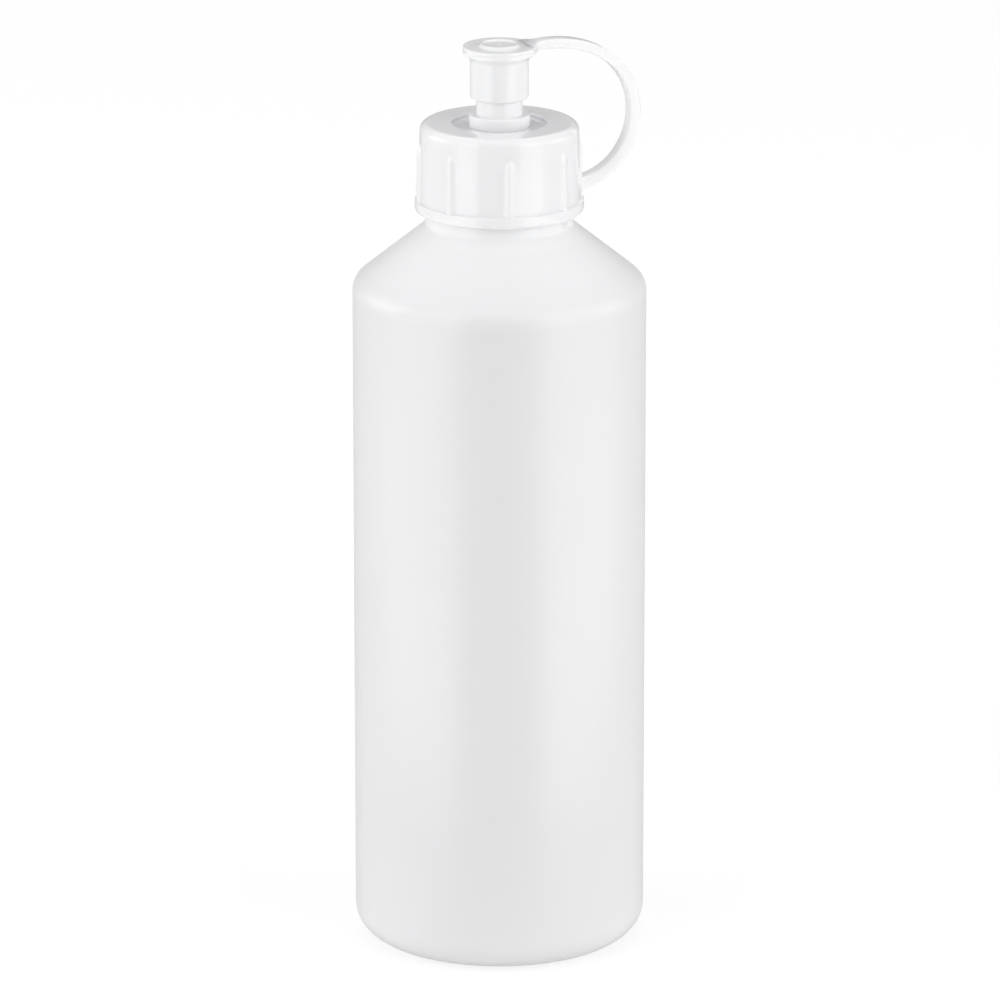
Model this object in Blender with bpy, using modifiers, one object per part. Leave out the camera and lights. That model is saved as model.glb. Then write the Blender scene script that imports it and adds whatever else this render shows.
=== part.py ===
"""Round plastic squeeze bottle: ribbed screw cap, spout and a stopper held by a strap.

Metres, +Z up, origin at the middle of the base.  The bottle stands on the ring round its
base.  The strap's loop leaves the stopper's disc, bows outwards and comes back to the cap.
"""

import math

import bmesh
import bpy
import numpy as np
from mathutils import Matrix

# Clearance between neighbouring pieces
CLEARANCE = 0.0003

# Bottle
BODY_RADIUS = 0.0330
WALL_HEIGHT = 0.1512
HEEL_RADIUS = 0.0068
FOOT_RING_WIDTH = 0.0036
BASE_RECESS_DEPTH = 0.0018
BASE_RECESS_COVE = 0.0012
SHOULDER_BEND_RADIUS = 0.0045
SHOULDER_ANGLE = math.radians(39.0)
NECK_RADIUS = 0.01565
NECK_FILLET = 0.0009
NECK_BEAD_PROUD = 0.00095
NECK_BEAD_CORNER = 0.0003
NECK_SHOWN = 0.0023

# Screw cap
SKIRT_THICKNESS = 0.0021
CAP_HEIGHT = 0.0201
CAP_DRAFT = 0.0003
SEAT_FLOOR_THICKNESS = 0.0021
CAP_EDGE_RADIUS = 0.0018
FLANGE_PROUD = 0.00085
FLANGE_HEIGHT = 0.0026
FLANGE_CORNER_RADIUS = 0.0009
RIB_COUNT = 8
RIB_WIDTH = 0.0019
RIB_PROUD = 0.00065
RIB_TIP_LENGTH = 0.0022
RIB_BELOW_TOP = 0.0048
RIB_FIRST_ANGLE = math.radians(-82.5)

# Spout
STEM_RADIUS = 0.00514
STEM_IN_STOPPER = 0.0072
STEM_TIP_BEVEL = 0.0006
COLLAR_PROUD = 0.00167
COLLAR_ABOVE_CAP = 0.0019
COLLAR_EDGE_RADIUS = 0.0003
RECESS_GAP = 0.0038
RECESS_DEPTH = 0.0008
SPOUT_SEAT_DEPTH = 0.0009

# Stopper
STEM_SHOWN = 0.0036
SHEATH_WALL = 0.0011
SHEATH_LENGTH = 0.00905
SHEATH_CORNER_RADIUS = 0.0006
FLARE_HEIGHT = 0.0011
DISC_PROUD = 0.0016
DISC_THICKNESS = 0.0019
DISC_EDGE_RADIUS = 0.0002
BOSS_RADIUS = 0.00490
BOSS_TOP_RADIUS = 0.00410
BOSS_HEIGHT = 0.00055
BOSS_DISH_RADIUS = 0.00260
BOSS_DISH_DEPTH = 0.00035

# Strap between the stopper's disc and the cap's side
STRAP_ANGLE = math.radians(20.0)
STRAP_WIDTH = 0.0034
STRAP_ROOT_THICKNESS = 0.0016
STRAP_TOP_THICKNESS = 0.0021
STRAP_END_THICKNESS = 0.0027
STRAP_THICKENS_OVER = 0.0055
STRAP_BULGE = 0.0138
STRAP_LOWER_RISE = 0.0158
STRAP_ROOT_FILLET = 0.0032
STRAP_FOOT_FLARE = 0.0006
STRAP_FOOT_LENGTH = 0.0018
STRAP_CHAMFER = 0.00025
STRAP_START_TILT = math.radians(11.0)
STRAP_END_TILT = math.radians(8.0)
STRAP_ROOT_IN_DISC = 0.0024
STRAP_BELOW_DISC_TOP = 0.0001

# Lengths of the strap's curve handles, as shares of each curve's run or rise
STRAP_START_PULL = 0.58
STRAP_ABOVE_PULL = 0.72
STRAP_BELOW_PULL = 0.53
STRAP_END_PULL = 0.55

# How finely round shapes are cut
BOTTLE_STEPS = 64
CAP_STEPS = 64
RIB_STEPS = 12
STOPPER_STEPS = 48
SPOUT_STEPS = 40
STRAP_STATIONS = 56
CURVE_SAMPLES = 200
SHARP_ANGLE = math.radians(32.0)
MERGE_DISTANCE = 0.00001

# Heights and radii that follow from the sizes above
bend_edge_radius = BODY_RADIUS - SHOULDER_BEND_RADIUS * (1.0 - math.sin(SHOULDER_ANGLE))
bend_edge_z = WALL_HEIGHT + SHOULDER_BEND_RADIUS * math.cos(SHOULDER_ANGLE)
neck_root_z = bend_edge_z + (bend_edge_radius - NECK_RADIUS) * math.tan(SHOULDER_ANGLE)
cap_bottom_z = neck_root_z + NECK_SHOWN
bead_radius = NECK_RADIUS + NECK_BEAD_PROUD
bead_root_z = neck_root_z - NECK_BEAD_PROUD * math.tan(SHOULDER_ANGLE)
bead_top_z = cap_bottom_z - CLEARANCE
cap_top_z = cap_bottom_z + CAP_HEIGHT
flange_top_z = cap_bottom_z + FLANGE_HEIGHT
bore_radius = NECK_RADIUS + CLEARANCE
cap_wall_radius = bore_radius + SKIRT_THICKNESS
flange_radius = cap_wall_radius + FLANGE_PROUD
cap_top_radius = cap_wall_radius - CAP_DRAFT
collar_radius = STEM_RADIUS + COLLAR_PROUD
recess_radius = collar_radius + RECESS_GAP
recess_z = cap_top_z - RECESS_DEPTH
spout_seat_z = recess_z - SPOUT_SEAT_DEPTH
bore_top_z = spout_seat_z - SEAT_FLOOR_THICKNESS
neck_top_z = bore_top_z - CLEARANCE
collar_top_z = cap_top_z + COLLAR_ABOVE_CAP
sheath_bottom_z = collar_top_z + STEM_SHOWN
stem_top_z = sheath_bottom_z + STEM_IN_STOPPER
sheath_radius = STEM_RADIUS + CLEARANCE + SHEATH_WALL
disc_bottom_z = sheath_bottom_z + SHEATH_LENGTH + FLARE_HEIGHT
disc_top_z = disc_bottom_z + DISC_THICKNESS
disc_radius = sheath_radius + DISC_PROUD


def clear_scene():
    """Remove whatever the scene holds."""
    for item in list(bpy.data.objects):
        bpy.data.objects.remove(item, do_unlink=True)


def make_collection(name):
    """A new collection under the scene's own."""
    collection = bpy.data.collections.new(name)
    bpy.context.scene.collection.children.link(collection)
    return collection


def make_material(name, color, roughness):
    """Plain moulded plastic."""
    material = bpy.data.materials.new(name)
    material.use_nodes = True
    shader = material.node_tree.nodes["Principled BSDF"]
    shader.inputs["Base Color"].default_value = (*color, 1.0)
    shader.inputs["Roughness"].default_value = roughness
    shader.inputs["Metallic"].default_value = 0.0
    return material


def arc(center_x, center_z, radius, start, end, segments):
    """Points on an arc, both ends included, angles in degrees from +X."""
    angles = [math.radians(start + (end - start) * i / segments) for i in range(segments + 1)]
    return [(center_x + radius * math.cos(a), center_z + radius * math.sin(a)) for a in angles]


def turned(name, profile, steps, collection):
    """Solid of revolution: the profile runs down its outer side, then in to the axis."""
    mesh = bpy.data.meshes.new(name)
    points = [(x, 0.0, z) for x, z in profile]
    mesh.from_pydata(points, [(i, i + 1) for i in range(len(points) - 1)], [])
    body = bpy.data.objects.new(name, mesh)
    collection.objects.link(body)
    screw = body.modifiers.new("turn", "SCREW")
    screw.axis = "Z"
    screw.steps = steps
    screw.render_steps = steps
    screw.use_merge_vertices = True
    screw.merge_threshold = MERGE_DISTANCE
    return body


def combine(body, other, operation):
    """Join or cut with another mesh object, which stays out of the render."""
    other.hide_render = True
    other.display_type = "WIRE"
    boolean = body.modifiers.new(operation.lower(), "BOOLEAN")
    boolean.operation = operation
    boolean.solver = "EXACT"
    boolean.object = other


def finish(body, material):
    """Keep the modifiers' result as the mesh, shade it smooth and give it its material."""
    bpy.context.view_layer.update()
    graph = bpy.context.evaluated_depsgraph_get()
    mesh = bpy.data.meshes.new_from_object(body.evaluated_get(graph))
    body.modifiers.clear()
    body.data = mesh
    mesh.name = body.name
    mesh.materials.clear()
    mesh.materials.append(material)
    mesh.shade_smooth()
    mesh.set_sharp_from_angle(angle=SHARP_ANGLE)
    return body


def build_bottle(collection, material):
    """Blow-moulded body, solid because it is shut and opaque."""
    foot_outer = BODY_RADIUS - HEEL_RADIUS
    foot_inner = foot_outer - FOOT_RING_WIDTH
    slope = math.degrees(SHOULDER_ANGLE)
    fillet_reach = NECK_FILLET * math.tan((math.pi / 2.0 - SHOULDER_ANGLE) / 2.0)
    corner = NECK_BEAD_CORNER
    profile = [(0.0, neck_top_z), (NECK_RADIUS, neck_top_z), (NECK_RADIUS, bead_top_z)]
    profile += arc(bead_radius - corner, bead_top_z - corner, corner, 90.0, 0.0, 2)
    profile += arc(bead_radius + NECK_FILLET, bead_root_z + fillet_reach, NECK_FILLET,
                   180.0, 270.0 - slope, 3)
    profile += arc(BODY_RADIUS - SHOULDER_BEND_RADIUS, WALL_HEIGHT, SHOULDER_BEND_RADIUS,
                   90.0 - slope, 0.0, 6)
    profile += arc(foot_outer, HEEL_RADIUS, HEEL_RADIUS, 0.0, -90.0, 8)
    profile += arc(foot_inner - BASE_RECESS_COVE, 0.0, BASE_RECESS_COVE, 0.0, 90.0, 3)
    profile += [(0.0, BASE_RECESS_DEPTH)]
    return finish(turned("bottle", profile, BOTTLE_STEPS, collection), material)


def build_rib(angle, collection):
    """One grip rib: a rod sunk in the wall, with a long rounded tip."""
    radius = RIB_WIDTH / 2.0
    tip_z = cap_top_z - RIB_BELOW_TOP
    low_z = flange_top_z - FLANGE_HEIGHT / 2.0
    shoulder_z = tip_z - RIB_TIP_LENGTH
    profile = [(0.0, tip_z)]
    profile += [(radius * math.sin(a), shoulder_z + RIB_TIP_LENGTH * math.cos(a))
                for a in np.linspace(0.0, math.pi / 2.0, 5)[1:]]
    profile += [(radius, low_z), (0.0, low_z)]
    rib = turned("rib", profile, RIB_STEPS, collection)
    from_axis = cap_wall_radius + RIB_PROUD - radius
    lean = math.atan2(CAP_DRAFT, CAP_HEIGHT - FLANGE_HEIGHT)
    pivot = Matrix.Translation((from_axis, 0.0, low_z))
    tilted = pivot @ Matrix.Rotation(-lean, 4, "Y") @ Matrix.Translation((0.0, 0.0, -low_z))
    rib.matrix_world = Matrix.Rotation(angle, 4, "Z") @ tilted
    return rib


def build_cap(collection, cutters, material):
    """Screw cap: drafted wall, rounded top edge, flange, ribs, recess and seat for the spout."""
    seat_radius = collar_radius + CLEARANCE
    edge_x = cap_top_radius - CAP_EDGE_RADIUS
    edge_z = cap_top_z - CAP_EDGE_RADIUS
    corner_x = flange_radius - FLANGE_CORNER_RADIUS
    corner_z = cap_bottom_z + FLANGE_CORNER_RADIUS
    profile = [(0.0, spout_seat_z), (seat_radius, spout_seat_z), (seat_radius, recess_z),
               (recess_radius, recess_z), (recess_radius, cap_top_z)]
    profile += arc(edge_x, edge_z, CAP_EDGE_RADIUS, 90.0, 0.0, 5)
    profile += [(cap_wall_radius, flange_top_z), (flange_radius, flange_top_z)]
    profile += arc(corner_x, corner_z, FLANGE_CORNER_RADIUS, 0.0, -90.0, 4)
    profile += [(bore_radius, cap_bottom_z), (bore_radius, bore_top_z), (0.0, bore_top_z)]
    cap = turned("screw_cap", profile, CAP_STEPS, collection)
    for index in range(RIB_COUNT):
        angle = RIB_FIRST_ANGLE + index * 2.0 * math.pi / RIB_COUNT
        combine(cap, build_rib(angle, cutters), "UNION")
    return finish(cap, material)


def build_spout(collection, material):
    """Spout: collar standing in the cap's seat, and a round stem going up into the stopper."""
    foot_z = spout_seat_z + CLEARANCE
    edge = COLLAR_EDGE_RADIUS
    profile = [(0.0, stem_top_z), (STEM_RADIUS - STEM_TIP_BEVEL, stem_top_z),
               (STEM_RADIUS, stem_top_z - STEM_TIP_BEVEL)]
    profile += arc(STEM_RADIUS + edge, collar_top_z + edge, edge, 180.0, 270.0, 2)
    profile += arc(collar_radius - edge, collar_top_z - edge, edge, 90.0, 0.0, 3)
    profile += [(collar_radius, foot_z), (0.0, foot_z)]
    return finish(turned("spout", profile, SPOUT_STEPS, collection), material)


def strap_path():
    """Middle line of the strap in its own upright plane, as (distance from axis, height).

    Two cubic curves meet at the widest point: one from the disc over the top, one down and
    back to the cap's side just above its flange.
    """
    half_end = (STRAP_END_THICKNESS + STRAP_FOOT_FLARE) / 2.0
    start = np.array([disc_radius - STRAP_ROOT_IN_DISC,
                      disc_top_z - STRAP_BELOW_DISC_TOP - STRAP_ROOT_THICKNESS / 2.0])
    end = np.array([cap_wall_radius + CLEARANCE + half_end * math.sin(STRAP_END_TILT),
                    flange_top_z + CLEARANCE + half_end])
    widest = np.array([cap_wall_radius + STRAP_BULGE, end[1] + STRAP_LOWER_RISE])
    upper, lower = widest - start, widest - end
    leaving = np.array([math.cos(STRAP_START_TILT), math.sin(STRAP_START_TILT)])
    arriving = np.array([math.cos(STRAP_END_TILT), math.sin(STRAP_END_TILT)])
    first = start + STRAP_START_PULL * upper[0] * leaving
    above = widest + np.array([0.0, STRAP_ABOVE_PULL * abs(upper[1])])
    below = widest - np.array([0.0, STRAP_BELOW_PULL * lower[1]])
    last = end + STRAP_END_PULL * lower[0] * arriving
    t = np.linspace(0.0, 1.0, CURVE_SAMPLES)[:, None]

    def cubic(a, b, c, d):
        return (1 - t) ** 3 * a + 3 * (1 - t) ** 2 * t * b + 3 * (1 - t) * t ** 2 * c + t ** 3 * d

    line = np.concatenate([cubic(start, first, above, widest), cubic(widest, below, last, end)[1:]])
    length = np.concatenate([[0.0], np.cumsum(np.hypot(*np.diff(line, axis=0).T))])
    places = np.linspace(0.0, length[-1], STRAP_STATIONS)
    points = np.stack([np.interp(places, length, line[:, i]) for i in range(2)], axis=1)
    return points, places


def strap_half_width(from_axis):
    """Half the strap's width: a fillet leads it tangent into the disc's round edge."""
    half = STRAP_WIDTH / 2.0
    fillet = STRAP_ROOT_FILLET
    reach = math.sqrt((disc_radius + fillet) ** 2 - (half + fillet) ** 2)
    tangent = reach * disc_radius / (disc_radius + fillet)
    inward = np.clip(reach - np.maximum(from_axis, tangent), 0.0, fillet)
    return half + fillet - np.sqrt(fillet ** 2 - inward ** 2)


def build_strap(collection):
    """Strap as a loft of chamfered rectangles along its path."""
    points, places = strap_path()
    along = np.gradient(points, axis=0)
    along /= np.linalg.norm(along, axis=1)[:, None]
    outward = np.stack([-along[:, 1], along[:, 0]], axis=1)
    grow = np.clip(places / STRAP_THICKENS_OVER, 0.0, 1.0)
    thick = STRAP_ROOT_THICKNESS + (STRAP_TOP_THICKNESS - STRAP_ROOT_THICKNESS) * grow
    thick += (STRAP_END_THICKNESS - STRAP_TOP_THICKNESS) * places / places[-1]
    foot = np.clip(1.0 - (places[-1] - places) / STRAP_FOOT_LENGTH, 0.0, 1.0) ** 2
    thick += STRAP_FOOT_FLARE * foot
    half_width = np.where(places < places[-1] / 2.0, strap_half_width(points[:, 0]), STRAP_WIDTH / 2.0)
    half_width = half_width + STRAP_FOOT_FLARE * foot

    run = np.array([math.cos(STRAP_ANGLE), math.sin(STRAP_ANGLE), 0.0])
    side = np.array([-math.sin(STRAP_ANGLE), math.cos(STRAP_ANGLE), 0.0])
    up = np.array([0.0, 0.0, 1.0])
    mesh = bpy.data.meshes.new("strap")
    build = bmesh.new()
    rings = []
    for place, normal, half_t, half_w in zip(points, outward, thick / 2.0, half_width):
        inner_w, inner_t = half_w - STRAP_CHAMFER, half_t - STRAP_CHAMFER
        section = [(half_w, inner_t), (inner_w, half_t), (-inner_w, half_t), (-half_w, inner_t),
                   (-half_w, -inner_t), (-inner_w, -half_t), (inner_w, -half_t), (half_w, -inner_t)]
        ring = []
        for across, off in section:
            flat = place + normal * off
            ring.append(build.verts.new(run * flat[0] + up * flat[1] + side * across))
        rings.append(ring)
    count = len(rings[0])
    for low, high in zip(rings, rings[1:]):
        for i in range(count):
            j = (i + 1) % count
            build.faces.new((low[i], low[j], high[j], high[i]))
    build.faces.new(rings[0])
    build.faces.new(rings[-1])
    bmesh.ops.recalc_face_normals(build, faces=build.faces)
    build.to_mesh(mesh)
    build.free()
    strap = bpy.data.objects.new("strap", mesh)
    collection.objects.link(strap)
    return strap


def build_stopper(collection, cutters, material):
    """Stopper: sheath over the stem, flared disc with a dished boss, and its strap."""
    socket_radius = STEM_RADIUS + CLEARANCE
    socket_top_z = stem_top_z + CLEARANCE
    boss_top_z = disc_top_z + BOSS_HEIGHT
    corner = SHEATH_CORNER_RADIUS
    dish_z = boss_top_z - BOSS_DISH_DEPTH
    profile = [(0.0, dish_z), (BOSS_DISH_RADIUS, dish_z),
               (BOSS_TOP_RADIUS, boss_top_z), (BOSS_RADIUS, disc_top_z)]
    profile += arc(disc_radius - DISC_EDGE_RADIUS, disc_top_z - DISC_EDGE_RADIUS, DISC_EDGE_RADIUS,
                   90.0, 0.0, 2)
    profile += [(disc_radius, disc_bottom_z), (sheath_radius, disc_bottom_z - FLARE_HEIGHT)]
    profile += arc(sheath_radius - corner, sheath_bottom_z + corner, corner, 0.0, -90.0, 4)[:-1]
    profile += [(socket_radius, sheath_bottom_z), (socket_radius, socket_top_z), (0.0, socket_top_z)]
    stopper = turned("stopper", profile, STOPPER_STEPS, collection)
    combine(stopper, build_strap(cutters), "UNION")
    return finish(stopper, material)


def main():
    clear_scene()
    parts = make_collection("squeeze bottle")
    cutters = make_collection("cutters")
    body_plastic = make_material("body plastic", (0.84, 0.84, 0.85), 0.42)
    cap_plastic = make_material("cap plastic", (0.87, 0.87, 0.88), 0.24)
    spout_plastic = make_material("spout plastic", (0.88, 0.88, 0.89), 0.28)
    stopper_plastic = make_material("stopper plastic", (0.88, 0.88, 0.88), 0.26)
    build_bottle(parts, body_plastic)
    build_cap(parts, cutters, cap_plastic)
    build_spout(parts, spout_plastic)
    build_stopper(parts, cutters, stopper_plastic)


main()
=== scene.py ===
"""White plastic squeeze bottle with a ribbed screw cap, a short spout and a captive stopper.

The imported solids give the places.  Each piece below is a finer skin over its solid.
"""

import math

import bmesh
import bpy
import numpy as np
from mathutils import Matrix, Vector


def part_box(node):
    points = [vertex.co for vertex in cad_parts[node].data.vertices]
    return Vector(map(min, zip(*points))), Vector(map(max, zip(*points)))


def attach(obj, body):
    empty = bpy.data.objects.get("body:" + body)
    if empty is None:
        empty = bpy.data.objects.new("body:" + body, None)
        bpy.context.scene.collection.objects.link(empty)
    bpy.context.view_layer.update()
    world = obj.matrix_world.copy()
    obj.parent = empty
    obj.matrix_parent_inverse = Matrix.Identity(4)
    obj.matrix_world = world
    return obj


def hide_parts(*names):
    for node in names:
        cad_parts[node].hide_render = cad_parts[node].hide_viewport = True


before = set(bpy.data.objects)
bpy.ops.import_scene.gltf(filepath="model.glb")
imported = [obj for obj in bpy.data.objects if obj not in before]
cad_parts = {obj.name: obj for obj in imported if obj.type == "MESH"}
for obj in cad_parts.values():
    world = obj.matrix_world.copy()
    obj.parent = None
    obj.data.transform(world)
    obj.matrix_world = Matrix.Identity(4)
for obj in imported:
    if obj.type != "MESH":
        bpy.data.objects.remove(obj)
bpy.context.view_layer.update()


# Camera: a long lens about 1.8 m away and 0.6 m above the floor, which looks down at the
# middle of the bottle.

eye = Vector((0.000135, -1.7000, 0.6083))
aim = Vector((0.000135, 0.0, 0.1019))
camera_data = bpy.data.cameras.new("camera")
camera_data.sensor_width = 36.0
camera_data.lens = 282.7
camera_data.clip_end = 20.0
camera = bpy.data.objects.new("camera", camera_data)
camera.location = eye
camera.rotation_euler = (aim - eye).to_track_quat("-Z", "Y").to_euler()
bpy.context.scene.collection.objects.link(camera)
bpy.context.scene.camera = camera
bpy.context.scene.view_settings.view_transform = "Standard"


# Floor: a wide translucent sheet with a glow of its own, weaker in shines.  The camera sees it
# lifted to white, while the bottle's shadow still falls on it.

sheet_half = 4.0
sheet_color = (0.38, 0.38, 0.382, 1.0)
sheet_glow = 0.46
glow_lost_in_shines = 0.36
lift_for_camera = 0.195


def new_node(tree, kind, inputs, **settings):
    """Shader node of the given kind.  Each input takes a value or is linked from a socket."""
    node = tree.nodes.new("ShaderNode" + kind)
    for name, value in settings.items():
        setattr(node, name, value)
    fill_inputs(tree, node, inputs)
    return node


def fill_inputs(tree, node, inputs):
    """Set each named or numbered input of the node to a value, or link it from a socket."""
    for name, value in inputs.items():
        if isinstance(value, bpy.types.NodeSocket):
            tree.links.new(value, node.inputs[name])
        else:
            node.inputs[name].default_value = value


sheet = bpy.data.materials.new("translucent white sheet")
sheet.use_nodes = True
tree = sheet.node_tree
tree.nodes.clear()
ray = new_node(tree, "LightPath", {})
glow = new_node(tree, "Math", {0: ray.outputs["Is Glossy Ray"], 1: -glow_lost_in_shines,
                               2: sheet_glow}, operation="MULTIPLY_ADD")
lifted = new_node(tree, "Math", {0: ray.outputs["Is Camera Ray"], 1: lift_for_camera,
                                 2: glow.outputs[0]}, operation="MULTIPLY_ADD")
surface = new_node(tree, "BsdfDiffuse", {"Color": sheet_color})
light = new_node(tree, "Emission", {"Color": (1.0, 1.0, 1.0, 1.0), "Strength": lifted.outputs[0]})
joined = new_node(tree, "AddShader", {0: surface.outputs[0], 1: light.outputs[0]})
new_node(tree, "OutputMaterial", {"Surface": joined.outputs[0]})

floor_mesh = bpy.data.meshes.new("floor")
floor_mesh.from_pydata([(-sheet_half, -sheet_half, 0), (sheet_half, -sheet_half, 0),
                        (sheet_half, sheet_half, 0), (-sheet_half, sheet_half, 0)],
                       [], [(0, 1, 2, 3)])
floor_mesh.materials.append(sheet)
floor = bpy.data.objects.new("floor", floor_mesh)
bpy.context.scene.collection.objects.link(floor)


# Room and lamps: a room that grows lighter overhead, a tall soft box on either side of the
# camera, one at each side of the bottle and a weaker one high behind it.  Two glowing cards
# on the floor show only in the bottle's shines.

room_color = (0.985, 0.985, 1.0, 1.0)
dark_below, light_above = 0.40, 0.92
low_strength, high_strength = 0.12, 1.00

world = bpy.data.worlds.new("room")
bpy.context.scene.world = world
world.use_nodes = True
tree = world.node_tree
tree.nodes.clear()
direction = new_node(tree, "TexCoord", {})
upward = new_node(tree, "SeparateXYZ", {0: direction.outputs["Generated"]})
strength = new_node(tree, "MapRange", {
    "Value": upward.outputs["Z"], "From Min": dark_below, "From Max": light_above,
    "To Min": low_strength, "To Max": high_strength})
room = new_node(tree, "Background", {"Color": room_color, "Strength": strength.outputs["Result"]})
backdrop = new_node(tree, "Background", {"Color": (1.0, 1.0, 1.0, 1.0), "Strength": 1.0})
ray = new_node(tree, "LightPath", {})
seen = new_node(tree, "MixShader", {"Fac": ray.outputs["Is Camera Ray"], 1: room.outputs[0],
                                    2: backdrop.outputs[0]})
new_node(tree, "OutputWorld", {"Surface": seen.outputs[0]})


def new_lamp(name, width, height, power):
    """Rectangular lamp of the given size in metres and power in watts, unseen by the camera."""
    data = bpy.data.lights.new(name, "AREA")
    data.shape = "RECTANGLE"
    data.size, data.size_y = width, height
    data.energy = power
    lamp = bpy.data.objects.new(name, data)
    lamp.visible_camera = False
    bpy.context.scene.collection.objects.link(lamp)
    return lamp


def soft_box(name, azimuth, elevation, distance, width, height, power):
    """Lamp that faces the middle of the bottle.  Azimuth 0 is at the camera."""
    turn, rise = math.radians(azimuth), math.radians(elevation)
    middle = Vector((0.0, 0.0, 0.11))
    away = Vector((math.sin(turn) * math.cos(rise), -math.cos(turn) * math.cos(rise),
                   math.sin(rise)))
    lamp = new_lamp(name, width, height, power)
    lamp.location = middle + away * distance
    lamp.rotation_euler = (-away).to_track_quat("-Z", "Y").to_euler()


def floor_card(name, azimuth, near, far, width, power):
    """Glowing card just above the floor, facing up, that is seen in shines alone.

    Its inner edge runs along the given azimuth from near to far, and it spreads outwards from
    that edge by the width.
    """
    turn, side = math.radians(azimuth), math.copysign(1.0, azimuth)
    reach = (near + far) / 2.0
    along = Vector((math.sin(turn), -math.cos(turn), 0.0))
    outwards = Vector((math.cos(turn), math.sin(turn), 0.0)) * side
    lift = Vector((0.0, 0.0, 0.002))
    lamp = new_lamp(name, width, far - near, power)
    lamp.location = along * reach + outwards * width / 2.0 + lift
    lamp.rotation_euler = (math.pi, 0.0, turn)
    lamp.visible_diffuse = False


for side, azimuth in (("left", -46.0), ("right", 46.0)):
    soft_box("box front " + side, azimuth, elevation=19.0, distance=1.6,
             width=0.8, height=1.5, power=7.8)
soft_box("box side left", azimuth=-98.0, elevation=14.0, distance=1.6,
         width=1.2, height=1.0, power=8.1)
soft_box("box side right", azimuth=90.0, elevation=14.0, distance=1.6,
         width=1.0, height=1.0, power=7.0)
soft_box("box behind", azimuth=180.0, elevation=50.0, distance=1.8,
         width=1.2, height=1.0, power=3.4)
for side, azimuth in (("left", -31.0), ("right", 31.0)):
    floor_card("card " + side, azimuth, near=0.13, far=0.95, width=0.45, power=1.9)


# Bottle: blow-moulded in white polyethylene, satin outside, with a fine parting line down both
# sides, a lug near it under the cap, and a pinched seam across the hollow of the base.

MM = 0.001

body_radius = 33.00 * MM
wall_height = 151.20 * MM
heel_radius = 6.80 * MM
ring_width = 3.60 * MM
ring_edge = 0.50 * MM
hollow_depth = 1.80 * MM
cove_radius = 1.20 * MM
bend_radius = 4.50 * MM
shoulder_slope = math.radians(39.0)
neck_radius = 15.65 * MM
neck_fillet = 0.90 * MM
neck_edge = 0.40 * MM
bead_radius = 16.60 * MM
bead_edge, bead_root = 0.35 * MM, 0.10 * MM
bead_below_cap = 0.30 * MM
seam_turn = math.radians(-12.0)
seam_height = 0.08 * MM
seam_width = 0.20 * MM
lug_turns = (math.radians(-27.0), math.radians(166.0))
lug_height = 1.25 * MM
lug_width = 0.95 * MM
pinch_height = 0.45 * MM
pinch_width = 0.50 * MM
pinch_length = 17.0 * MM
bare_edge = 1.00 * MM
slack = 0.10 * MM
bottle_color = (0.838, 0.838, 0.843)


def rounded(corners, steps):
    """Profile through (radius, height, rounding) corners.

    At a corner of half angle h and rounding r the arc starts r / tan(h) before it and ends as
    far after it, and its middle lies r / sin(h) along the line that halves the corner.
    """
    line = [np.array(corners[0][:2])[None]]
    for before, here, after in zip(corners, corners[1:], corners[2:]):
        a, p, b = (np.array(c[:2]) for c in (before, here, after))
        u, v = (a - p) / np.linalg.norm(a - p), (b - p) / np.linalg.norm(b - p)
        half = math.acos(np.clip(u @ v, -1.0, 1.0)) / 2.0
        if here[2] == 0.0:
            line.append(p[None])
            continue
        middle = p + (u + v) / np.linalg.norm(u + v) * here[2] / math.sin(half)
        first, last = (p + w * here[2] / math.tan(half) - middle for w in (u, v))
        start = math.atan2(first[1], first[0])
        sweep = (math.atan2(last[1], last[0]) - start + math.pi) % (2.0 * math.pi) - math.pi
        angle = start + sweep * np.linspace(0.0, 1.0, steps + 1)
        line.append(middle + here[2] * np.stack([np.cos(angle), np.sin(angle)], axis=1))
    line.append(np.array(corners[-1][:2])[None])
    return np.concatenate(line)


def spaced(line, longest):
    """The same profile with points added, so that no stretch is longer than the given one."""
    step = np.linalg.norm(np.diff(line, axis=0), axis=1)
    count = np.maximum(np.ceil(step / longest).astype(int), 1)
    place = np.concatenate([i + np.arange(n) / n for i, n in enumerate(count)] + [[len(step)]])
    return np.stack([np.interp(place, np.arange(len(line)), line[:, k]) for k in (0, 1)], axis=1)


def off_nearest(around, places):
    """Angle between each column and the nearest of the given places round the axis."""
    return np.min([np.abs((around - place + math.pi) % (2.0 * math.pi) - math.pi)
                   for place in places], axis=0)


def columns(count, fine_places=(), reach=0.0, fine_step=0.01):
    """Angles round the axis: evenly spread, and closer within reach of each fine place.

    Where two fine places overlap, the angles that they share are kept once.
    """
    turn = 2.0 * math.pi
    plain = np.arange(count) * turn / count
    fine = [np.arange(place - reach, place + reach + fine_step / 2.0, fine_step) % turn
            for place in fine_places]
    if fine:
        plain = plain[off_nearest(plain, fine_places) > reach + fine_step / 2.0]
    return np.unique(np.round(np.concatenate([plain, *fine]), 6) % turn)


def spread(skin, around):
    """Radius and height of each profile point at each angle, as two (point, angle) arrays."""
    return [np.repeat(skin[:, k:k + 1], len(around), axis=1) for k in (0, 1)]


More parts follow.
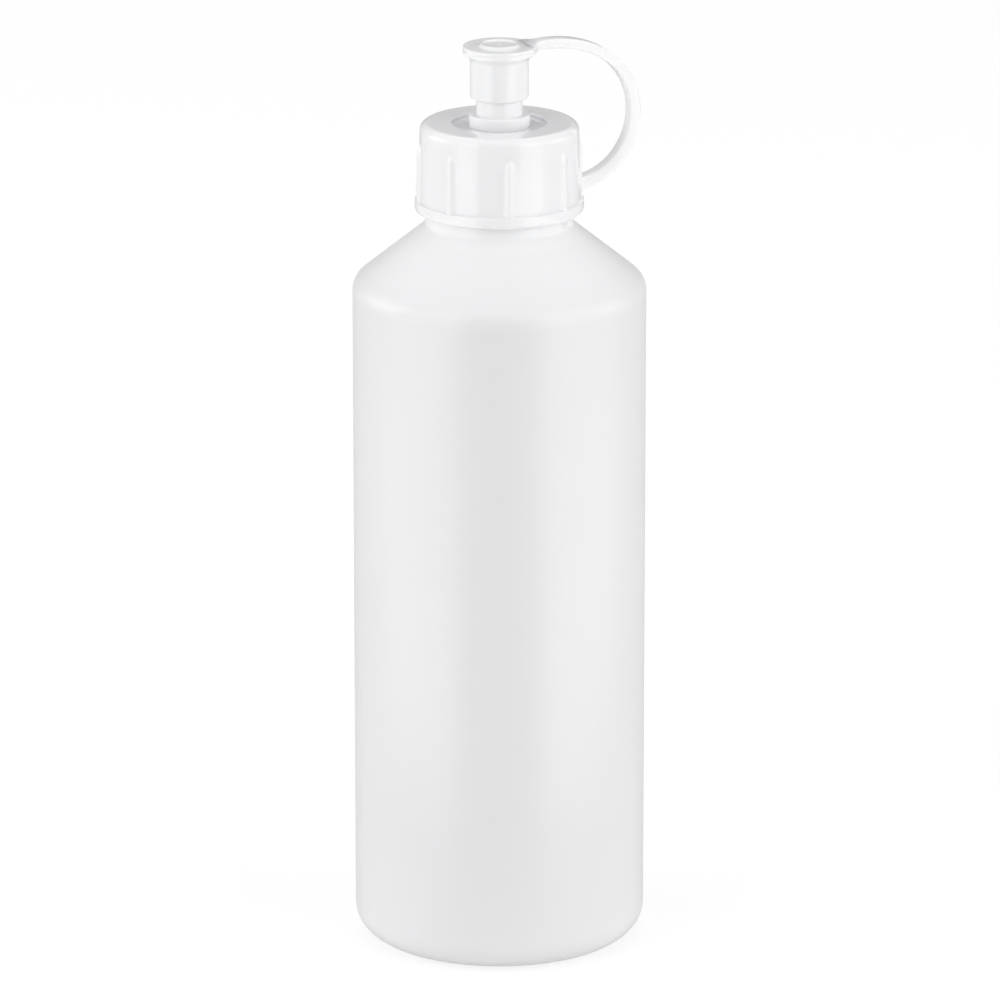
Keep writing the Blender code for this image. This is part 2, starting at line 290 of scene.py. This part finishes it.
def turned_mesh(name, radius, angle, height):
    """Closed skin: point (i, j) lies at radius[i, j], angle[j], height[i, j].

    The first and the last row shrink to one point each on the axis, and the rows run from the
    top down the outside, so that down times round points outwards.
    """
    rows, cols = radius.shape
    grid = np.stack([radius * np.cos(angle), radius * np.sin(angle), height], axis=2)
    points = np.concatenate([[[0.0, 0.0, height[0, 0]]], grid[1:-1].reshape(-1, 3),
                             [[0.0, 0.0, height[-1, 0]]]])
    index = 1 + np.arange((rows - 2) * cols).reshape(rows - 2, cols)
    beside = np.roll(index, -1, axis=1)
    quads = np.stack([index[:-1], index[1:], beside[1:], beside[:-1]], axis=2).reshape(-1, 4)
    top = np.stack([np.zeros(cols, int), index[0], beside[0]], axis=1)
    bottom = np.stack([np.full(cols, len(points) - 1), beside[-1], index[-1]], axis=1)
    mesh = bpy.data.meshes.new(name)
    mesh.from_pydata(points.tolist(), [], top.tolist() + quads.tolist() + bottom.tolist())
    return mesh


def new_piece(mesh, material, sharp=40.0):
    """Object named like its mesh, smooth except across edges sharper than the given angle."""
    mesh.shade_smooth()
    mesh.set_sharp_from_angle(angle=math.radians(sharp))
    mesh.materials.append(material)
    piece = bpy.data.objects.new(mesh.name, mesh)
    bpy.context.scene.collection.objects.link(piece)
    return piece


def moulded_plastic(name, color, roughness, sheen_spread, grain, cloud, clear, depth):
    """Moulded plastic: cloudy colour, uneven gloss, fine grain and a little light inside.

    The colour drifts by the cloud share over some centimetres, the roughness by sheen_spread
    over some millimetres, and the grain is a bump of the given height.  Clear is the share of
    the light that enters the plastic, and depth is how far it travels there.
    """
    cloud_scale, sheen_scale, grain_scale = 28.0, 240.0, 1600.0
    material = bpy.data.materials.new(name)
    material.use_nodes = True
    tree = material.node_tree
    place = new_node(tree, "TexCoord", {}).outputs["Object"]

    def noise(scale, detail):
        inputs = {"Vector": place, "Scale": scale, "Detail": detail}
        return new_node(tree, "TexNoise", inputs).outputs["Fac"]

    darker = [c * (1.0 - cloud) for c in color]
    lighter = [min(c * (1.0 + cloud), 1.0) for c in color]
    tint = new_node(tree, "Mix", {"Factor": noise(cloud_scale, 3.0), "A": (*darker, 1.0),
                                  "B": (*lighter, 1.0)}, data_type="RGBA")
    gloss = new_node(tree, "MapRange", {
        "Value": noise(sheen_scale, 2.0), "To Min": roughness - sheen_spread,
        "To Max": roughness + sheen_spread})
    relief = new_node(tree, "Bump", {"Height": noise(grain_scale, 2.0), "Strength": 1.0,
                                     "Distance": grain})
    fill_inputs(tree, tree.nodes["Principled BSDF"], {
        "Base Color": tint.outputs["Result"], "Roughness": gloss.outputs["Result"],
        "Normal": relief.outputs["Normal"], "Subsurface Weight": clear,
        "Subsurface Radius": (1.0, 0.95, 0.92), "Subsurface Scale": depth, "IOR": 1.50})
    return material


def tint_further(material, amount, tint):
    """Multiply the plastic's cloudy colour by a tint, by the given amount."""
    tree = material.node_tree
    mixed = new_node(tree, "Mix", {"Factor": amount, "A": tree.nodes["Mix"].outputs["Result"],
                                   "B": tint}, data_type="RGBA", blend_type="MULTIPLY")
    fill_inputs(tree, tree.nodes["Principled BSDF"], {"Base Color": mixed.outputs["Result"]})


def height_in(material):
    """Socket with the height above the floor, read from Object coordinates."""
    tree = material.node_tree
    place = tree.nodes["Texture Coordinate"].outputs["Object"]
    return new_node(tree, "SeparateXYZ", {0: place}).outputs["Z"]


neck_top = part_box("bottle")[1].z
bend_x = body_radius - bend_radius * (1.0 - math.sin(shoulder_slope))
bend_z = wall_height + bend_radius * math.cos(shoulder_slope)
bend_corner_z = bend_z - (body_radius - bend_x) * math.tan(shoulder_slope)
neck_root = bend_z + (bend_x - neck_radius) * math.tan(shoulder_slope)
ring_inner = body_radius - heel_radius - ring_width
bead_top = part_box("screw_cap")[0].z - bead_below_cap
bead_foot = neck_root - (bead_radius - neck_radius) * math.tan(shoulder_slope)
skin = spaced(rounded([
    (0.0, neck_top, 0.0), (neck_radius, neck_top, neck_edge), (neck_radius, bead_top, bead_root),
    (bead_radius, bead_top, bead_edge), (bead_radius, bead_foot, neck_fillet),
    (body_radius, bend_corner_z, bend_radius), (body_radius, 0.0, heel_radius),
    (ring_inner, 0.0, ring_edge), (ring_inner, hollow_depth, cove_radius),
    (0.0, hollow_depth, 0.0)], steps=14), longest=1.8 * MM)
seams = (seam_turn, seam_turn + math.pi)
around = columns(288, seams + lug_turns, reach=math.radians(5.0), fine_step=math.radians(0.25))
radius, height = spread(skin, around)
from_seam, from_lug = (radius * np.sin(np.minimum(off_nearest(around, places), math.pi / 2.0))
                       for places in (seams, lug_turns))

# The parting line and the lugs stand out from the outside, and the pinch hangs from the hollow.
outside = (height > bare_edge) & (height < neck_top - bare_edge) & (radius > neck_radius - slack)
ridge = seam_height * np.exp(-(from_seam / seam_width) ** 2) - seam_height
lug_middle, lug_half = (bead_top + neck_root) / 2.0, (bead_top - neck_root) / 2.0
lug = lug_height * np.exp(-(from_lug / lug_width) ** 6)
lug *= np.exp(-((height - lug_middle) / lug_half) ** 8)
radius = radius + np.where(outside, ridge + lug, 0.0)
under = (height < hollow_depth + slack) & (radius < ring_inner)
pinch = pinch_height * np.exp(-(from_seam / pinch_width) ** 2)
pinch *= np.exp(-(radius / pinch_length) ** 8)
height = height - np.where(under, pinch, 0.0)

body_plastic = moulded_plastic(
    "blow-moulded white", bottle_color, roughness=0.32, sheen_spread=0.03, grain=0.006 * MM,
    cloud=0.010, clear=0.50, depth=3.0 * MM)

# Painted light and shade by height: the colour is darkest just below the shoulder, as painted
# shade, and a little lighter further down.  It is lightened at the shoulder as a painted
# highlight, and at the neck under the flange and at the foot over the shade that falls there:
# (height, brightness) pairs.
painted_light_and_shade_by_height = [(0.0, 0.895), (9.0 * MM, 0.862), (30.0 * MM, 0.842), (150.0 * MM, 0.826),
                  (157.0 * MM, 0.885), (164.0 * MM, 0.915), (167.0 * MM, 0.99), (neck_top, 0.99)]
tree = body_plastic.node_tree
level = new_node(tree, "Math", {0: height_in(body_plastic), 1: neck_top}, operation="DIVIDE")
ramp = new_node(tree, "ValToRGB", {"Fac": level.outputs[0]})
stops = ramp.color_ramp.elements
for z, _ in painted_light_and_shade_by_height[1:-1]:
    stops.new(z / neck_top)
for stop, (_, brightness) in zip(stops, painted_light_and_shade_by_height):
    stop.color = (*[brightness / bottle_color[0]] * 3, 1.0)
# The plastic's colour is multiplied by the painted light and shade for its height.
tint_further(body_plastic, 1.0, ramp.outputs["Color"])

bottle = new_piece(turned_mesh("bottle_skin", radius, around, height), body_plastic)
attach(bottle, "root")
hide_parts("bottle")


# Screw cap: moulded in glossier white plastic, with eight grip ribs, a flange round its foot
# and a shallow round recess in its top, in which the spout's collar is seated.

cap_bottom, cap_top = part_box("screw_cap")[0].z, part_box("screw_cap")[1].z
clearance = 0.30 * MM
bore_radius = neck_radius + clearance
bore_corner, bore_mouth = 0.30 * MM, 0.25 * MM
wall_radius = bore_radius + 2.10 * MM
draft = 0.30 * MM
top_rounding = 1.80 * MM
flange_radius = wall_radius + 0.85 * MM
flange_top = cap_bottom + 2.60 * MM
flange_root, flange_edge, flange_foot = 0.20 * MM, 0.22 * MM, 0.90 * MM
collar_radius = 6.81 * MM
recess_radius = collar_radius + 3.80 * MM
recess_depth = 0.80 * MM
recess_root, recess_edge = 0.18 * MM, 0.16 * MM
# Painted shade for the floor of the recess.
recess_painted_shade = (0.87, 0.86, 0.88, 1.0)
seat_radius, seat_edge = collar_radius + 0.03 * MM, 0.02 * MM
seat_depth = 0.90 * MM
rib_count = 8
rib_first = math.radians(-82.5)
rib_proud = 0.65 * MM
rib_half_low = 1.20 * MM
rib_half_high = 0.85 * MM
rib_tip = cap_top - 4.80 * MM
rib_tip_length = 2.00 * MM
rib_tip_least = 0.05
rib_fall, rib_power = 0.9, 2.4
outer_slack = 0.40 * MM

recess_floor = cap_top - recess_depth
seat_z = recess_floor - seat_depth
bore_top = neck_top + clearance
skin = spaced(rounded([
    (0.0, seat_z, 0.0), (seat_radius, seat_z, 0.0), (seat_radius, recess_floor, seat_edge),
    (recess_radius, recess_floor, recess_root), (recess_radius, cap_top, recess_edge),
    (wall_radius - draft, cap_top, top_rounding), (wall_radius, flange_top, flange_root),
    (flange_radius, flange_top, flange_edge), (flange_radius, cap_bottom, flange_foot),
    (bore_radius, cap_bottom, bore_mouth), (bore_radius, bore_top, bore_corner),
    (0.0, bore_top, 0.0)], steps=8), longest=0.45 * MM)
ribs = [rib_first + k * 2.0 * math.pi / rib_count for k in range(rib_count)]
around = columns(192, ribs, reach=math.radians(5.0), fine_step=math.radians(0.5))
radius, height = spread(skin, around)

# Each rib is a ridge that widens downwards and ends at the top in a rounded tip.  Across it the
# height falls off as exp(-rib_fall (offset / half width) ^ rib_power).
down = np.clip((rib_tip - height) / (rib_tip - cap_bottom), 0.0, 1.0)
tip = np.sqrt(1.0 - (1.0 - np.clip((rib_tip - height) / rib_tip_length, 0.0, 1.0)) ** 2)
half = (rib_half_high + (rib_half_low - rib_half_high) * down) * np.maximum(tip, rib_tip_least)
off_rib = radius * off_nearest(around, ribs)
bulge = rib_proud * tip * np.exp(-(off_rib / half) ** rib_power * rib_fall)
outside = (radius > wall_radius - draft - outer_slack) & (height < rib_tip)
ribbed = np.maximum(radius, np.minimum(radius + bulge, wall_radius + bulge))
radius = np.where(outside, ribbed, radius)

cap_plastic = moulded_plastic(
    "cap white", (0.915, 0.915, 0.924), roughness=0.10, sheen_spread=0.02, grain=0.002 * MM,
    cloud=0.006, clear=0.45, depth=1.5 * MM)

# Painted shade: the floor of the recess is made a little greyer, for the shade that falls in it.
tree = cap_plastic.node_tree
sunk = new_node(tree, "MapRange", {
    "Value": height_in(cap_plastic), "From Min": cap_top - 0.8 * recess_depth,
    "From Max": cap_top - 0.2 * recess_depth, "To Min": 1.0, "To Max": 0.0})
flat = new_node(tree, "VectorMath", {
    0: tree.nodes["Texture Coordinate"].outputs["Object"], 1: (1.0, 1.0, 0.0)},
    operation="MULTIPLY")
off_axis = new_node(tree, "VectorMath", {0: flat.outputs["Vector"]}, operation="LENGTH")
within = new_node(tree, "Math", {0: off_axis.outputs["Value"], 1: recess_radius + slack},
                  operation="LESS_THAN")
in_recess = new_node(tree, "Math", {0: sunk.outputs["Result"], 1: within.outputs[0]},
                     operation="MULTIPLY")
tint_further(cap_plastic, in_recess.outputs[0], recess_painted_shade)

cap = new_piece(turned_mesh("cap_skin", radius, around, height), cap_plastic)
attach(cap, "root")
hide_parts("screw_cap")


# Spout: a smooth round stem that rises from a collar in the cap's seat and goes up into the
# stopper, moulded in a lighter and less glossy plastic than the cap.

stem_radius = 5.14 * MM
stem_top, stem_edge, stem_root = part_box("spout")[1].z, 0.60 * MM, 0.30 * MM
collar_top, collar_edge = cap_top + 1.90 * MM, 0.28 * MM
spout_foot, foot_edge = seat_z + clearance, 0.15 * MM
skin = spaced(rounded([
    (0.0, stem_top, 0.0), (stem_radius, stem_top, stem_edge), (stem_radius, collar_top, stem_root),
    (collar_radius, collar_top, collar_edge), (collar_radius, spout_foot, foot_edge),
    (0.0, spout_foot, 0.0)], steps=8), longest=0.8 * MM)
around = columns(128)
radius, height = spread(skin, around)
spout = new_piece(turned_mesh("spout_skin", radius, around, height), moulded_plastic(
    "spout white", (0.960, 0.960, 0.966), roughness=0.20, sheen_spread=0.02, grain=0.001 * MM,
    cloud=0.005, clear=0.45, depth=1.5 * MM))
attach(spout, "root")
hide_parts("spout")


# Stopper: a sheath pushed over the stem, with a grooved disc and a dished boss on top.  It is
# moulded in one with its strap, which bows out and comes back to the cap's side.

socket_top = stem_top + clearance
sheath_radius = stem_radius + clearance + 1.10 * MM
sheath_bottom = collar_top + 3.60 * MM
sheath_foot = 0.75 * MM
closed_radius = stem_radius + 0.04 * MM
mouth_edge, socket_corner = 0.05 * MM, 0.20 * MM
flare_bottom, flare_rounding = sheath_bottom + 9.05 * MM, 0.90 * MM
lip_bottom, lip_rounding = flare_bottom + 1.10 * MM, 0.35 * MM
lip_draft = 0.06 * MM
disc_radius = sheath_radius + 1.60 * MM
disc_top, disc_edge = lip_bottom + 1.75 * MM, 0.18 * MM
groove_z = disc_top - 0.85 * MM
groove_depth = 0.28 * MM
groove_above, groove_below, groove_draft = 0.16 * MM, 0.20 * MM, 0.02 * MM
groove_edge, groove_root, groove_foot = 0.10 * MM, 0.08 * MM, 0.12 * MM
boss_radius, boss_root = 4.90 * MM, 0.16 * MM
boss_top_radius, boss_edge = 4.10 * MM, 0.06 * MM
boss_top = disc_top + 0.55 * MM
dish_radius, dish_depth = 3.90 * MM, 0.36 * MM
dot_radius, dot_depth = 0.42 * MM, 0.14 * MM

# The dish has a flat floor and a steep wall, with the moulding point as a dot in its middle.
reach = np.linspace(0.0, dish_radius, 24)
dish = boss_top - dish_depth * (1.0 - (reach / dish_radius) ** 9)
dish -= dot_depth * np.exp(-(reach / dot_radius) ** 4)
below = rounded([
    (dish_radius, boss_top, 0.0), (boss_top_radius, boss_top, boss_edge),
    (boss_radius, disc_top, boss_root), (disc_radius, disc_top, disc_edge),
    (disc_radius, groove_z + groove_above, groove_edge),
    (disc_radius - groove_depth, groove_z, groove_root),
    (disc_radius - groove_draft, groove_z - groove_below, groove_foot),
    (disc_radius - lip_draft, lip_bottom, lip_rounding),
    (sheath_radius, flare_bottom, flare_rounding), (sheath_radius, sheath_bottom, sheath_foot),
    (closed_radius, sheath_bottom, mouth_edge), (closed_radius, socket_top, socket_corner),
    (0.0, socket_top, 0.0)], steps=6)
skin = spaced(np.concatenate([np.stack([reach, dish], axis=1), below[1:]]), longest=0.8 * MM)
around = columns(128)
radius, height = spread(skin, around)
stopper_mesh = turned_mesh("stopper_skin", radius, around, height)

strap_turn = math.radians(20.0)
strap_width = 3.40 * MM
root_thick, top_thick, end_thick = 1.60 * MM, 2.10 * MM, 2.70 * MM
thickens_over = 5.50 * MM
foot_flare, foot_length = 0.60 * MM, 1.80 * MM
edge_rounding = 0.28 * MM
root_inside_disc, root_below_top = 2.40 * MM, 0.10 * MM
root_fillet = 3.20 * MM
strap_bulge, strap_rise = 13.80 * MM, 15.80 * MM
start_tilt, end_tilt = math.radians(11.0), math.radians(8.0)
start_pull, above_pull, below_pull, end_pull = 0.58, 0.72, 0.53, 0.55


def strap_line(count):
    """Middle line of the strap in its own upright plane, evenly spaced, and the way along it.

    Two cubic curves meet at the widest point, each with its two end points and two handles.
    """
    half_end = (end_thick + foot_flare) / 2.0
    start = np.array([disc_radius - root_inside_disc,
                      disc_top - root_below_top - root_thick / 2.0])
    end = np.array([wall_radius + clearance + half_end * math.sin(end_tilt),
                    flange_top + clearance + half_end])
    widest = np.array([wall_radius + strap_bulge, end[1] + strap_rise])
    upper, lower = widest - start, widest - end
    first = start + start_pull * upper[0] * np.array([math.cos(start_tilt), math.sin(start_tilt)])
    above = widest + np.array([0.0, above_pull * abs(upper[1])])
    below = widest - np.array([0.0, below_pull * lower[1]])
    last = end + end_pull * lower[0] * np.array([math.cos(end_tilt), math.sin(end_tilt)])
    t = np.linspace(0.0, 1.0, 400)[:, None]
    curves = [(1 - t) ** 3 * a + 3 * (1 - t) ** 2 * t * b + 3 * (1 - t) * t ** 2 * c + t ** 3 * d
              for a, b, c, d in ((start, first, above, widest), (widest, below, last, end))]
    line = np.concatenate([curves[0], curves[1][1:]])
    length = np.concatenate([[0.0], np.cumsum(np.hypot(*np.diff(line, axis=0).T))])
    place = np.linspace(0.0, length[-1], count)
    return np.stack([np.interp(place, length, line[:, k]) for k in (0, 1)], axis=1), place


def strap_mesh(count=150, corner_steps=4):
    """Rounded rectangle carried along the line, from wide root to slightly flared foot.

    Near the disc the strap widens along an arc of the root fillet, which touches both the
    disc's rim and the strap's side.
    """
    line, place = strap_line(count)
    along = np.gradient(line, axis=0)
    along /= np.linalg.norm(along, axis=1)[:, None]
    outward = np.stack([-along[:, 1], along[:, 0]], axis=1)
    thick = root_thick + (top_thick - root_thick) * np.clip(place / thickens_over, 0.0, 1.0)
    thick += (end_thick - top_thick) * place / place[-1]
    foot = np.clip(1.0 - (place[-1] - place) / foot_length, 0.0, 1.0) ** 2
    half = strap_width / 2.0
    reach = math.sqrt((disc_radius + root_fillet) ** 2 - (half + root_fillet) ** 2)
    tangent = reach * disc_radius / (disc_radius + root_fillet)
    inward = np.clip(reach - np.maximum(line[:, 0], tangent), 0.0, root_fillet)
    wide = half + root_fillet - np.sqrt(root_fillet ** 2 - inward ** 2)
    wide = np.where(place < place[-1] / 2.0, wide, half) + foot_flare * foot
    thick = thick / 2.0 + foot_flare / 2.0 * foot
    turn = np.linspace(0.0, math.pi / 2.0, corner_steps + 1)
    turn = np.concatenate([turn + k * math.pi / 2.0 for k in range(4)])
    sign_w = np.repeat([1.0, -1.0, -1.0, 1.0], corner_steps + 1)
    sign_t = np.repeat([1.0, 1.0, -1.0, -1.0], corner_steps + 1)
    off_w = sign_w * (wide[:, None] - edge_rounding) + edge_rounding * np.cos(turn)
    off_t = sign_t * (thick[:, None] - edge_rounding) + edge_rounding * np.sin(turn)
    flat = line[:, None] + outward[:, None] * off_t[:, :, None]
    run = np.array([math.cos(strap_turn), math.sin(strap_turn), 0.0])
    side = np.array([-math.sin(strap_turn), math.cos(strap_turn), 0.0])
    points = flat[:, :, :1] * run + flat[:, :, 1:] * np.array([0.0, 0.0, 1.0])
    points = (points + off_w[:, :, None] * side).reshape(-1, 3)
    ring = len(turn)
    index = np.arange(count * ring).reshape(count, ring)
    beside = np.roll(index, -1, axis=1)
    quads = np.stack([index[:-1], beside[:-1], beside[1:], index[1:]], axis=2).reshape(-1, 4)
    ends = [index[0][::-1].tolist(), index[-1].tolist()]
    mesh = bpy.data.meshes.new("strap")
    mesh.from_pydata(points.tolist(), [], quads.tolist() + ends)
    return mesh


moulding = bmesh.new()
moulding.from_mesh(stopper_mesh)
moulding.from_mesh(strap_mesh())
moulding.to_mesh(stopper_mesh)
moulding.free()
stopper = new_piece(stopper_mesh, moulded_plastic(
    "stopper white", (0.938, 0.938, 0.941), roughness=0.17, sheen_spread=0.02, grain=0.001 * MM,
    cloud=0.005, clear=0.45, depth=1.5 * MM))
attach(stopper, "root")
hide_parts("stopper")
